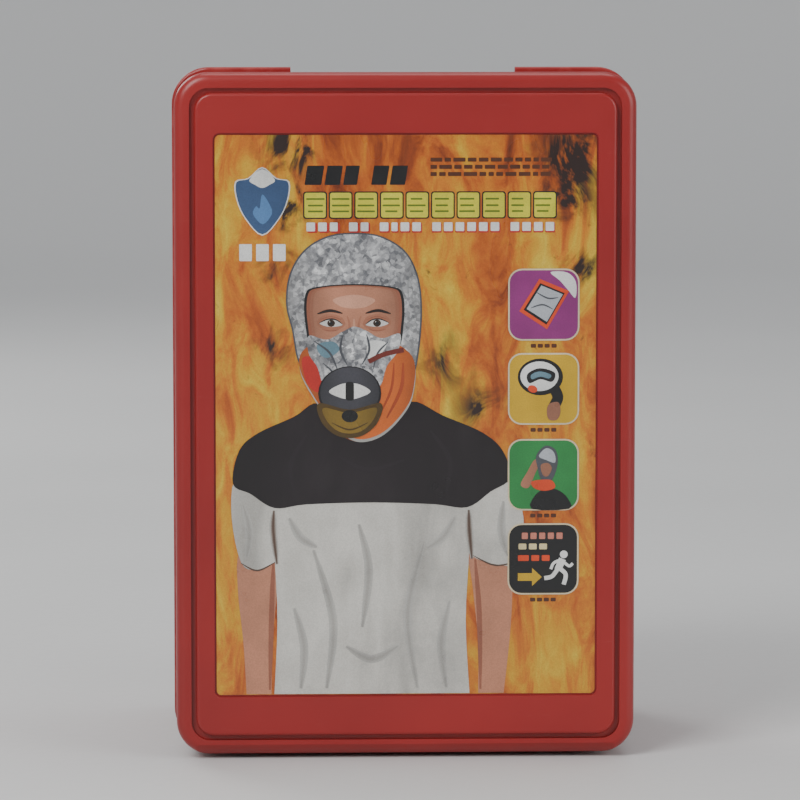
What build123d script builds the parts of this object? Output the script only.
from build123d import *
import math
import os

# A filtering smoke hood, packed for storage. A moulded red case holds a vacuum pouch, and the pouch holds
# the folded hood with its visor, half mask and filter canister. Millimetres, +Z up, the case standing.
# The front of the case faces -Y. The origin is on the ground under the middle of the case.

# ---- driving dimensions -------------------------------------------------------------------------------
CASE_W = 142.0  # across the cover's front rim
CASE_H = 211.0  # height of the cover's front rim
CASE_D = 106.0  # front panel to back wall
CASE_Z = 107.0  # height of the case's centre line
FRONT = -CASE_D / 2
BACK = CASE_D / 2
CORNER = 10.5  # corner radius of the front rim
WALL = 2.3

RIM_FACE = FRONT + 1.2  # the panel stands this much proud of the rim
RIM_BACK = RIM_FACE + 6.8
PARTING = FRONT + 28.0  # where cover and base meet
FLANGE_W, FLANGE_H, FLANGE_T = CASE_W + 2.0, CASE_H + 2.0, 3.0
SKIRT_W, SKIRT_H = CASE_W - 2.0, CASE_H - 2.0
SKIRT_IN_W, SKIRT_IN_H = SKIRT_W - 4.4, SKIRT_H - 4.4
LIP_W, LIP_H, LIP_DEEP = SKIRT_IN_W - 0.6, SKIRT_IN_H - 0.6, 8.0
BASE_W, BASE_H = 136.0, 205.0
BASE_IN_W, BASE_IN_H = BASE_W - 2 * WALL, BASE_H - 2 * WALL
DRAFT = 1.1  # degrees, on the base's walls
NOTCH_W = 70.0  # finger notch in the top of the base's flange
SCREW_R, SCREW_PITCH, SCREW_Z = 2.6, 70.0, 178.0  # the two wall screw holes

HINGE_Y, HINGE_Z = RIM_FACE + 8.0, 9.5  # axis of the cover's hinge, along X
CURL_R, CURL_IN_R = 8.0, 5.8  # rolled lower edge of the cover
SHELF_R = HINGE_Z - 0.2  # nothing of the cover is further below the axis than this as it opens
SILL_Z = 12.4  # the cover's side walls stop here, above the base's sill
SILL_FRONT = HINGE_Y + SHELF_R + 0.5
EAR_X, EAR_T, EAR_R = 50.0, 8.0, 4.4
PIN_R, PIN_RUN = 1.5, 0.06
BOSS_X0, BOSS_X1 = 56.0, 68.0

RECESS_W, RECESS_H, RECESS_DEEP = 118.2, 174.2, 0.8
HOLLOW_W, HOLLOW_H = 120.6, 186.6  # behind the panel
LABEL_W, LABEL_H, LABEL_T = 117.0, 173.0, 0.3

PACK_W, PACK_TOP, PACK_BOTTOM = 121.0, 201.0, 10.6  # the folded hood
PACK_FRONT, PACK_BACK = -28.0, 48.0
FILM_T = 0.3
FILM_GAP = 2.4  # between the folded hood and the pouch round it
SEAM_Y = 4.0  # where the pouch's clear front is sealed to its foil back

CAN_Z = 75.0  # height of the canister's axis, which runs along Y
CAN_R, CAN_WALL = 48.8, 1.6
CAN_FRONT, CAN_BACK = -44.0, 8.0
DISH_R, DISH_FLOOR = 31.0, -33.0
INLET_R, OUTLET_R = 11.0, 14.3
PORT_R, PORT_END = 17.0, 19.0
BED_R = CAN_R - CAN_WALL - 0.2


# ---- helpers ------------------------------------------------------------------------------------------
def slab(w, h, r, y0, y1, z=CASE_Z, x=0.0, taper=0.0):
    """A rounded rectangle seen from the front, w by h, filling y0 to y1. A taper narrows it towards y1."""
    plane = Plane(origin=(x, y0, z), x_dir=(1, 0, 0), z_dir=(0, 1, 0))
    return extrude(plane * RectangleRounded(w, h, r), amount=y1 - y0, taper=taper)


def disc(r, y0, y1, x=0.0, z=CAN_Z):
    """A cylinder along Y."""
    plane = Plane(origin=(x, y0, z), x_dir=(1, 0, 0), z_dir=(0, 1, 0))
    return extrude(plane * Circle(r), amount=y1 - y0)


def ring(r_out, r_in, y0, y1, x=0.0, z=CAN_Z):
    return disc(r_out, y0, y1, x, z) - disc(r_in, y0 - 1, y1 + 1, x, z)


def block(x0, x1, y0, y1, z0, z1):
    return Pos((x0 + x1) / 2, (y0 + y1) / 2, (z0 + z1) / 2) * Box(x1 - x0, y1 - y0, z1 - z0)


def rod(r, x0, x1, y=HINGE_Y, z=HINGE_Z):
    """A cylinder along X."""
    plane = Plane(origin=(x0, y, z), x_dir=(0, 1, 0), z_dir=(1, 0, 0))
    return extrude(plane * Circle(r), amount=x1 - x0)


def turned(points):
    """A solid of revolution about the canister's axis, from (radius, y) points."""
    plane = Plane(origin=(0, 0, CAN_Z), x_dir=(1, 0, 0), z_dir=(0, 0, 1))
    outline = plane * make_face(Polyline(*points, close=True))
    return revolve(outline, Axis((0, 0, CAN_Z), (0, 1, 0)))


def both_sides(solid):
    return solid + mirror(solid, about=Plane.YZ)


def wedge(angles, reach, x0, x1):
    """A fan about the hinge axis: angles in degrees, from +Y towards +Z."""
    points = [(0.0, 0.0)] + [
        (reach * math.cos(math.radians(a)), reach * math.sin(math.radians(a))) for a in angles
    ]
    plane = Plane(origin=(x0, HINGE_Y, HINGE_Z), x_dir=(0, 1, 0), z_dir=(1, 0, 0))
    return extrude(plane * make_face(Polyline(*points, close=True)), amount=x1 - x0)


def edges_at(shape, y, tolerance=0.01):
    """The edges that lie in the plane at y."""
    return ShapeList(
        e for e in shape.edges() if abs(e.bounding_box().min.Y - y) < tolerance and abs(e.bounding_box().max.Y - y) < tolerance
    )


# ---- case ---------------------------------------------------------------------------------------------
def case_cover():
    """Front cover: rim, groove, raised panel with a label recess, side walls, and a rolled lower edge."""
    rim = slab(CASE_W, CASE_H, CORNER, RIM_FACE, RIM_BACK)
    rim = fillet(edges_at(rim, RIM_FACE), 3.0)
    rim = fillet(edges_at(rim, RIM_BACK), 0.9)
    cover = rim + slab(SKIRT_W, SKIRT_H, CORNER - 1, RIM_BACK - 1, PARTING - 0.3)
    groove_out, groove_in, groove_floor = 4.7, 6.2, RIM_FACE + 1.3
    groove = slab(CASE_W - 2 * groove_out, CASE_H - 2 * groove_out, CORNER - groove_out, RIM_FACE - 1, groove_floor)
    cover -= groove
    panel = slab(CASE_W - 2 * groove_in, CASE_H - 2 * groove_in, CORNER - 5.0, FRONT, groove_floor)
    panel = fillet(edges_at(panel, FRONT), 1.1)
    cover += panel
    recess = slab(RECESS_W, RECESS_H, 2.1, FRONT - 1, FRONT + RECESS_DEEP)
    cover -= recess
    hollow = slab(SKIRT_IN_W, SKIRT_IN_H, CORNER - 3.2, groove_floor + 2.2, PARTING)
    hollow += slab(HOLLOW_W, HOLLOW_H, 5.0, FRONT + RECESS_DEEP + 2.2, groove_floor + 3)
    hollow -= block(-80, 80, -60, 0, -10, HINGE_Z)
    cover -= hollow
    # the rolled lower edge: what lies below the axis stays inside a circle, so that it never meets the shelf
    below = block(-80, 80, FRONT - 2, PARTING + 1, -5, HINGE_Z)
    keep = rod(SHELF_R, -80, 80) - block(-80, 80, HINGE_Y, 0, -5, HINGE_Z) + rod(CURL_R, -80, 80)
    cover -= below - keep
    cover -= block(-80, 80, SILL_FRONT - 0.3, PARTING + 1, -5, SILL_Z)
    cover -= rod(CURL_IN_R, -BOSS_X0, BOSS_X0)
    boss = rod(5.0, BOSS_X0, BOSS_X1)
    slot_half = EAR_T / 2 + 0.3
    slot = wedge((240, 300, 360), 16, EAR_X - slot_half, EAR_X + slot_half)
    bore = rod(PIN_R + PIN_RUN, BOSS_X0 - 1, BOSS_X1 - 2)
    cover += both_sides(boss)
    cover -= both_sides(slot) + both_sides(bore)
    # a groove for the snap bead, stiffening ribs and a rest for the pack, on the inside
    cover -= block(-16, 16, PARTING - 5.2, PARTING - 2.8, 0, SKIRT_IN_H / 2 + CASE_Z + 0.7) & block(
        -16, 16, -60, 0, CASE_Z, 300
    )
    return cover


def case_base():
    """Rear shell: flange with a finger notch, a lip inside the cover, a sill with hinge ears, and runners."""
    body = slab(BASE_W, BASE_H, CORNER - 1.5, PARTING + FLANGE_T - 1, BACK, taper=DRAFT)
    body = fillet(edges_at(body, BACK), 5.0)
    inside = slab(BASE_IN_W, BASE_IN_H, CORNER - 3.8, PARTING + FLANGE_T - 1, BACK - WALL, taper=DRAFT)
    inside = fillet(edges_at(inside, BACK - WALL), 3.0)
    flange = slab(FLANGE_W, FLANGE_H, CORNER + 1, PARTING, PARTING + FLANGE_T)
    flange = fillet(edges_at(flange, PARTING) + edges_at(flange, PARTING + FLANGE_T), 0.8)
    flange -= slab(NOTCH_W, 40, 3.0, PARTING - 1, PARTING + FLANGE_T + 1, z=CASE_Z + BASE_H / 2 + 20)
    lip = slab(LIP_W, LIP_H, CORNER - 3.5, PARTING - LIP_DEEP, PARTING + 1)
    lip -= block(-80, 80, -60, 0, -5, SILL_Z + 0.2)
    sill = slab(SKIRT_W, SKIRT_H, CORNER - 1, SILL_FRONT, PARTING + 1) & block(-80, 80, -60, 0, -5, SILL_Z - 0.3)
    opening = slab(BASE_IN_W, BASE_IN_H, CORNER - 3.8, -60, PARTING + FLANGE_T)
    base = body + flange + lip + sill - inside - opening
    bead_z = CASE_Z + LIP_H / 2
    bead = block(-15, 15, PARTING - 4.5, PARTING - 3.5, bead_z - 1, bead_z + 0.3)
    ear = rod(EAR_R, EAR_X - EAR_T / 2, EAR_X + EAR_T / 2)
    ear += block(EAR_X - EAR_T / 2, EAR_X + EAR_T / 2, HINGE_Y, SILL_FRONT - 1, HINGE_Z - 2.6, HINGE_Z + 2.4)
    ear += block(EAR_X - EAR_T / 2, EAR_X + EAR_T / 2, SILL_FRONT - 1.5, SILL_FRONT + 4, 3.2, HINGE_Z - 1.3)
    ear -= rod(PIN_R, 0, 80)
    runner = block(EAR_X - 3, EAR_X + 3, SILL_FRONT + 1, BACK - 6, 0, 6.4)
    for y in (PARTING, BACK - 12):
        runner += block(-1, EAR_X, y, y + 6, 0, 5.0)
    base += bead + both_sides(ear) + both_sides(runner)
    # moulded fields in the sides and the back, and the two wall screw holes
    field = slab(100, 96, 8.0, BACK - 0.8, BACK + 1, z=84)
    base -= field
    side = extrude(Plane(origin=(0, 14, CASE_Z), x_dir=(0, 1, 0), z_dir=(1, 0, 0)) * RectangleRounded(52, 150, 8), 4)
    side = Pos(BASE_W / 2 - 1.5, 0, 0) * side.rotate(Axis((0, 14, CASE_Z), (0, 0, 1)), DRAFT)
    base -= both_sides(side)
    hole = disc(SCREW_R, BACK - 5, BACK + 1, x=SCREW_PITCH / 2, z=SCREW_Z)
    pad = disc(7.0, BACK - WALL - 0.5, BACK - WALL + 0.5, x=SCREW_PITCH / 2, z=SCREW_Z)
    base += both_sides(pad)
    base -= both_sides(hole)
    return base


def hinge_pins():
    return both_sides(rod(PIN_R, EAR_X - EAR_T / 2, BOSS_X1 - 3.5))


def front_label():
    return slab(LABEL_W, LABEL_H, 1.5, FRONT + RECESS_DEEP - LABEL_T, FRONT + RECESS_DEEP)


def instruction_leaflet():
    return slab(110, 150, 1.0, PACK_BACK + 1.85, PACK_BACK + 2.15, z=98)


# ---- pouch --------------------------------------------------------------------------------------------
POUCH_W = PACK_W + 2 * FILM_GAP
POUCH_H = PACK_TOP - PACK_BOTTOM + 4.0
POUCH_Z = (PACK_TOP + PACK_BOTTOM) / 2
FILM_FRONT = PACK_FRONT - 6.6
DOME_R, DOME_FRONT = CAN_R + 4.4, CAN_FRONT - 2.4


def pouch_front_film():
    """Clear front of the pouch: a tray over the hood, with a dome over the canister."""
    outer = slab(POUCH_W, POUCH_H, 5, FILM_FRONT, SEAM_Y, z=POUCH_Z) + disc(DOME_R, DOME_FRONT, FILM_FRONT + 1)
    inner = slab(POUCH_W - 2 * FILM_T, POUCH_H - 2 * FILM_T, 5 - FILM_T, FILM_FRONT + FILM_T, SEAM_Y + 1, z=POUCH_Z)
    inner += disc(DOME_R - FILM_T, DOME_FRONT + FILM_T, FILM_FRONT + 2)
    return outer - inner


def pouch_back_foil():
    """Foil back of the pouch: a tray behind the hood."""
    outer = slab(POUCH_W, POUCH_H, 5, SEAM_Y, PACK_BACK + 1.5, z=POUCH_Z)
    outer = fillet(edges_at(outer, PACK_BACK + 1.5), 4.5)
    inner = slab(
        POUCH_W - 2 * FILM_T, POUCH_H - 2 * FILM_T, 5 - FILM_T, SEAM_Y - 1, PACK_BACK + 1.5 - FILM_T, z=POUCH_Z
    )
    inner = fillet(edges_at(inner, PACK_BACK + 1.5 - FILM_T), 4.5 - FILM_T)
    return outer - inner


# ---- folded hood --------------------------------------------------------------------------------------
CROWN_Z = 127.0  # the silver crown lies above this, the neck skirt below it
VISOR_W, VISOR_H, VISOR_Z = 98.0, 47.0, 155.6
STRAP_Z0, STRAP_Z1 = 186.5, 197.0
STRAP_FRONT = PACK_FRONT - 3.5
STRAP_T = 1.2


def folded_hood():
    """The whole bundle, with the space that the canister and the mask fill."""
    height = PACK_TOP - PACK_BOTTOM
    bundle = slab(PACK_W, height, 12, PACK_FRONT, PACK_BACK, z=POUCH_Z)
    bundle = fillet(edges_at(bundle, PACK_FRONT) + edges_at(bundle, PACK_BACK), 6.0)
    return bundle - disc(CAN_R + 3.5, -60, 12) - disc(CAN_R + 2.2, 11, PACK_BACK - 3)


def hood_crown():
    keep = block(-80, 80, -60, 60, CROWN_Z, 300) + block(-80, 80, 30, 60, 0, 300)
    return folded_hood() & keep


def neck_skirt():
    return folded_hood() & block(-80, 80, -60, 29.7, 0, CROWN_Z - 0.3)


def visor_film():
    return slab(VISOR_W - 0.4, VISOR_H - 0.4, 8, PACK_FRONT - 1.2, PACK_FRONT - 0.7, z=VISOR_Z)


def visor_binding():
    frame = slab(VISOR_W + 9, VISOR_H + 9, 12, PACK_FRONT - 1.7, PACK_FRONT - 0.3, z=VISOR_Z)
    return frame - slab(VISOR_W, VISOR_H, 8.2, -60, 0, z=VISOR_Z)


def reflective_bands():
    return both_sides(block(38, 57, PACK_FRONT - 1.0, PACK_FRONT - 0.4, 25, 35))


def neck_elastic():
    return slab(84, 6, 2.5, PACK_FRONT - 1.6, PACK_FRONT - 0.4, z=19.5)


def head_strap():
    """Elastic band across the top of the pack, turned back along both sides."""
    half, back = PACK_W / 2 + 1.6, 15.0
    centre_y = (STRAP_FRONT + back + 20) / 2
    depth = back + 20 - STRAP_FRONT
    outer = Pos(0, centre_y) * RectangleRounded(2 * half, depth, 9)
    inner = Pos(0, centre_y) * RectangleRounded(2 * (half - STRAP_T), depth - 2 * STRAP_T, 9 - STRAP_T)
    band = extrude(Plane.XY.offset(STRAP_Z0) * (outer - inner), amount=STRAP_Z1 - STRAP_Z0)
    return band & block(-80, 80, -60, back, 0, 300)


def strap_slider():
    """A flat plastic loop that slides on the strap, with a bar across its front."""
    x, half = 22.0, 5.0
    body = block(x - half, x + half, STRAP_FRONT - 1.8, PACK_FRONT - 0.5, STRAP_Z0 - 2.4, STRAP_Z1 + 2.4)
    body = fillet(body.edges().filter_by(Axis.Y), 1.5)
    body -= block(x - half - 1, x + half + 1, STRAP_FRONT - 0.6, STRAP_FRONT + STRAP_T + 0.6, STRAP_Z0 - 0.5, STRAP_Z1 + 0.5)
    window = block(x - 3.2, x + 3.2, STRAP_FRONT - 3, STRAP_FRONT - 0.3, STRAP_Z0 + 0.2, STRAP_Z1 - 0.2)
    bar = block(x - 0.9, x + 0.9, STRAP_FRONT - 1.8, STRAP_FRONT - 0.6, STRAP_Z0 - 1, STRAP_Z1 + 1)
    return body - window + bar


# ---- half mask ----------------------------------------------------------------------------------------
MASK_Y0, MASK_Y1 = 12.0, 43.5
EXHALE_Y, EXHALE_Z = 30.0, 36.0
STEM_R = 0.9  # of the two valve flaps


def mask_cup(grow):
    """The cup between its neck and its face opening, larger all round by grow."""
    stations = ((MASK_Y0, 24.5, 24.5), (27.0, 31.0, 36.0), (MASK_Y1, 42.0, 48.0))
    outlines = [
        Plane(origin=(0, y, CAN_Z), x_dir=(1, 0, 0), z_dir=(0, 1, 0)) * Ellipse(w + grow, h + grow)
        for y, w, h in stations
    ]
    return loft(outlines)


def upright(r, z0, z1, y=EXHALE_Y):
    return Pos(0, y, (z0 + z1) / 2) * Cylinder(r, z1 - z0)


def half_mask():
    cup = mask_cup(0) - mask_cup(-2.0)
    cup -= upright(11.1, 0, CAN_Z)
    return cup + ring(24.5, PORT_R + 0.1, 10.0, MASK_Y0 + 0.2)


def mask_ring():
    """Threaded ring that clamps the mask and the hood's cloth onto the canister's port."""
    grips = [
        disc(1.4, 13.5, 20, x=22.0 * math.cos(math.radians(a)), z=CAN_Z + 22.0 * math.sin(math.radians(a)))
        for a in range(0, 360, 30)
    ]
    return ring(21.8, PORT_R + 0.1, MASK_Y0 + 0.3, 18.0) - grips


def port_gasket():
    return ring(21.5, PORT_R + 0.1, CAN_BACK, 9.9)


def exhalation_seat():
    """Short tube through the lower wall of the mask, with a spider that the flap lies against."""
    tube = upright(11.0, EXHALE_Z - 9, EXHALE_Z + 9) - upright(8.8, 0, 80)
    hub = upright(2.2, EXHALE_Z - 4, EXHALE_Z - 2.6)
    spokes = [
        Pos(0, EXHALE_Y, EXHALE_Z - 3.3) * Rot(0, 0, a) * Box(18.4, 1.6, 1.4) for a in (0, 60, 120)
    ]
    return tube + hub + spokes - upright(STEM_R + 0.06, EXHALE_Z - 5, EXHALE_Z)


def exhalation_flap():
    stem = upright(STEM_R, EXHALE_Z - 4.5, EXHALE_Z - 1.0)
    return upright(8.4, EXHALE_Z - 4.9, EXHALE_Z - 4.1) + stem + upright(1.7, EXHALE_Z - 1.3, EXHALE_Z - 0.5)


def exhalation_cover():
    cap = upright(11.0, EXHALE_Z - 10.6, EXHALE_Z - 9)
    slots = [Pos(0, EXHALE_Y, EXHALE_Z - 10) * Rot(0, 0, a) * Pos(5.6, 0, 0) * Box(4.4, 1.8, 6) for a in range(0, 360, 45)]
    return cap - slots


# ---- canister -----------------------------------------------------------------------------------------
def canister_body():
    """Drawn cup with two rolled beads and a threaded port at the back."""
    front = CAN_FRONT + 9.5
    bead = 0.9
    profile = [(0, CAN_BACK), (CAN_R - 4, CAN_BACK), (CAN_R, CAN_BACK - 4)]
    for y in (CAN_BACK - 16, CAN_BACK - 28):
        profile += [(CAN_R, y + 1.6), (CAN_R + bead, y + 0.8), (CAN_R + bead, y - 0.8), (CAN_R, y - 1.6)]
    profile += [(CAN_R, front), (CAN_R - CAN_WALL, front), (CAN_R - CAN_WALL, CAN_BACK - 5)]
    profile += [(CAN_R - 5, CAN_BACK - 2), (0, CAN_BACK - 2)]
    body = turned(profile) + disc(PORT_R, CAN_BACK - 1, PORT_END)
    return body - disc(OUTLET_R, 0, 40)


def canister_cover():
    """Front cap: knurled rim, dished inlet with ribs, and the inlet hole."""
    rim = CAN_R + 1.7
    profile = [
        (INLET_R, DISH_FLOOR), (16.5, DISH_FLOOR), (DISH_R, CAN_FRONT + 1.2), (DISH_R + 2, CAN_FRONT),
        (rim - 2.5, CAN_FRONT), (rim, CAN_FRONT + 2.5), (rim, CAN_FRONT + 13), (CAN_R + 0.1, CAN_FRONT + 13),
        (CAN_R + 0.1, CAN_FRONT + 8.4), (CAN_R - 2, CAN_FRONT + 8.4), (CAN_R - 4, CAN_FRONT + 2.2),
        (DISH_R + 2.2, CAN_FRONT + 2.2), (17.4, DISH_FLOOR + 2.0), (INLET_R, DISH_FLOOR + 2.0),
    ]
    cap = turned(profile)
    for a in range(0, 360, 30):
        blade = block(16, DISH_R - 1, CAN_FRONT + 2.2, DISH_FLOOR + 1.6, CAN_Z - 0.8, CAN_Z + 0.8)
        cap += blade.rotate(Axis((0, 0, CAN_Z), (0, 1, 0)), a)
    for a in range(0, 360, 10):
        groove = disc(1.0, CAN_FRONT + 3.5, CAN_FRONT + 14, x=rim + 0.45, z=CAN_Z)
        cap -= groove.rotate(Axis((0, 0, CAN_Z), (0, 1, 0)), a)
    return cap


def cover_seal_ring():
    return ring(CAN_R, CAN_R - CAN_WALL, CAN_FRONT + 8.5, CAN_FRONT + 9.4)


def plug(y_head, toward, head_r, stem_r, stem):
    """Rubber stopper: a stem in the port, a rimmed head, and a grip bar. toward is the way it pulls out."""
    def span(r, near, far):
        a, b = y_head + toward * near, y_head + toward * far
        return disc(r, min(a, b), max(a, b))

    head = span(head_r, 0, 2.6) + span(stem_r, -stem, 0)
    head -= span(head_r - 2.2, 1.6, 3.5)
    a, b = y_head + toward * 1.0, y_head + toward * 4.2
    return head + block(-1.6, 1.6, min(a, b), max(a, b), CAN_Z - head_r + 4, CAN_Z + head_r - 4)


def inlet_plug():
    return plug(DISH_FLOOR, -1, 14.5, INLET_R - 0.05, 4.2)


def outlet_plug():
    return plug(PORT_END, 1, 16.5, OUTLET_R - 0.05, 6.5)


def screen(y0, y1, hole_r):
    plate = disc(BED_R, y0, y1)
    holes = [disc(hole_r, y0 - 1, y1 + 1)]
    for count, radius in ((6, 9.0), (12, 18.0), (18, 27.0), (24, 36.0)):
        for i in range(count):
            a = 2 * math.pi * i / count
            holes.append(disc(hole_r, y0 - 1, y1 + 1, x=radius * math.cos(a), z=CAN_Z + radius * math.sin(a)))
    return plate - holes


INLET_PLENUM = 3.2  # free depth behind the inlet, where air spreads over the filter
LAYERS = (  # name, thickness along the air's way
    ("inlet_screen", 0.8), ("particulate_filter", 7.6), ("front_felt", 1.2), ("carbon_bed", 6.0),
    ("desiccant_bed", 5.0), ("catalyst_bed", 6.0), ("rear_felt", 1.2), ("outlet_screen", 0.8),
)


def layer_spans():
    spans, y = {}, DISH_FLOOR + 2.0 + INLET_PLENUM
    for name, thick in LAYERS:
        spans[name] = (y, y + thick)
        y += thick + 0.1
    return spans


def particulate_filter(y0, y1):
    """Pleated paper, cut to a disc."""
    pitch, paper = 4.0, 0.7
    count = int(2 * BED_R / pitch)
    lower, upper = [], []
    for i in range(2 * count + 1):
        x = (i - count) * pitch / 2
        y = y0 if i % 2 else y1 - paper
        lower.append((x, y))
        upper.append((x, y + paper))
    pleats = Plane.XY.offset(CAN_Z - BED_R) * make_face(Polyline(*(lower + upper[::-1]), close=True))
    return extrude(pleats, amount=2 * BED_R) & disc(BED_R, y0 - 1, y1 + 1)


def bed_spring(y0):
    """Dished ring that presses the beds together."""
    return turned([(22, y0 + 2.2), (43, y0 + 0.1), (43, y0 + 0.8), (22, y0 + 2.9)])


def inhalation_seat():
    """Spider in the port, with a hub that holds the flap."""
    rim = ring(OUTLET_R - 0.02, 11.6, 5.2, 7.2)
    hub = disc(2.0, 5.2, 7.2)
    spokes = [
        (block(-12.5, 12.5, 5.2, 7.2, CAN_Z - 0.8, CAN_Z + 0.8)).rotate(Axis((0, 0, CAN_Z), (0, 1, 0)), a)
        for a in (0, 60, 120)
    ]
    return rim + hub + spokes - disc(STEM_R + 0.06, 4, 9)


def inhalation_flap():
    return disc(13.2, 7.4, 8.2) + disc(STEM_R, 3.4, 7.6) + disc(1.7, 3.1, 3.9)


# ---- export -------------------------------------------------------------------------------------------
def main():
    spans = layer_spans()
    parts = {
        "case_base": case_base(),
        "case_cover": case_cover(),
        "hinge_pins": hinge_pins(),
        "front_label": front_label(),
        "instruction_leaflet": instruction_leaflet(),
        "pouch_front_film": pouch_front_film(),
        "pouch_back_foil": pouch_back_foil(),
        "hood_crown": hood_crown(),
        "neck_skirt": neck_skirt(),
        "visor_film": visor_film(),
        "visor_binding": visor_binding(),
        "reflective_bands": reflective_bands(),
        "neck_elastic": neck_elastic(),
        "head_strap": head_strap(),
        "strap_slider": strap_slider(),
        "half_mask": half_mask(),
        "mask_ring": mask_ring(),
        "port_gasket": port_gasket(),
        "exhalation_seat": exhalation_seat(),
        "exhalation_flap": exhalation_flap(),
        "exhalation_cover": exhalation_cover(),
        "canister_body": canister_body(),
        "canister_cover": canister_cover(),
        "cover_seal_ring": cover_seal_ring(),
        "inlet_plug": inlet_plug(),
        "outlet_plug": outlet_plug(),
        "inhalation_seat": inhalation_seat(),
        "inhalation_flap": inhalation_flap(),
        "inlet_screen": screen(*spans["inlet_screen"], 1.6),
        "outlet_screen": screen(*spans["outlet_screen"], 1.6),
        "particulate_filter": particulate_filter(*spans["particulate_filter"]),
        "bed_spring": bed_spring(spans["outlet_screen"][1]),
    }
    for name in ("front_felt", "carbon_bed", "desiccant_bed", "catalyst_bed", "rear_felt"):
        parts[name] = disc(BED_R, *spans[name])
    os.makedirs("parts", exist_ok=True)
    for name, shape in parts.items():
        export_step(shape, f"parts/{name}.step")


main()
